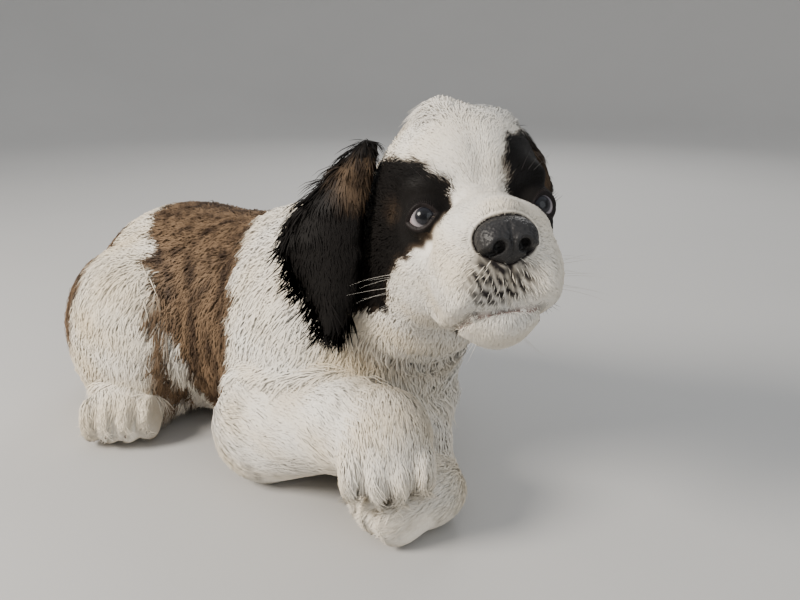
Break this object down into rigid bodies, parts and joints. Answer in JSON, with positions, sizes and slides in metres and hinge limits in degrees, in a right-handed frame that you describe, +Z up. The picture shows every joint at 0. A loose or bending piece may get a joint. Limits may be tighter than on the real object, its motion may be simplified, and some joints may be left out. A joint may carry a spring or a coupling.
{
  "type": "saint bernard puppy model",
  "caption": "Life-size still model of a young saint bernard lying down, head up and turned, one forepaw over the other.",
  "frame": {"origin": "middle of the bounding box, on the floor", "axes": "+X towards the chest and head end, +Y towards the animal's left, +Z up"},
  "size_m": [0.5324, 0.3316, 0.2806],
  "materials": {
    "coat_white": "plush white puppy coat",
    "coat_brown": "plush brindled red-brown coat with darker tips",
    "coat_black": "soft black coat of the ears and face patches",
    "nose_leather": "moist pebbled black nose leather",
    "eye": "wet eye, dark blue-grey iris, clear cornea",
    "claw": "dark translucent claw horn"
  },
  "bodies": {
    "root": {"torso": "coat_brown", "hindleg_right": "coat_white", "hindleg_left": "coat_white", "neck": "coat_white", "head": "coat_white", "lower_jaw": "coat_white", "ear_right": "coat_black", "ear_left": "coat_black", "eye_right": "eye", "eye_left": "eye", "nose": "nose_leather", "foreleg_right": "coat_white", "foreleg_left": "coat_white", "forepaw_right": "coat_white", "forepaw_left": "coat_white", "hindpaw_right": "coat_white", "hindpaw_left": "coat_white", "tail_base": "coat_brown", "tail_middle": "coat_brown", "tail_end": "coat_white", "claw_forepaw_right_1": "claw", "claw_forepaw_right_2": "claw", "claw_forepaw_right_3": "claw", "claw_forepaw_right_4": "claw", "claw_forepaw_left_1": "claw", "claw_forepaw_left_2": "claw", "claw_forepaw_left_3": "claw", "claw_forepaw_left_4": "claw", "claw_hindpaw_right_1": "claw", "claw_hindpaw_right_2": "claw", "claw_hindpaw_right_3": "claw", "claw_hindpaw_right_4": "claw", "claw_hindpaw_left_1": "claw", "claw_hindpaw_left_2": "claw", "claw_hindpaw_left_3": "claw", "claw_hindpaw_left_4": "claw"}
  },
  "joints": []
}
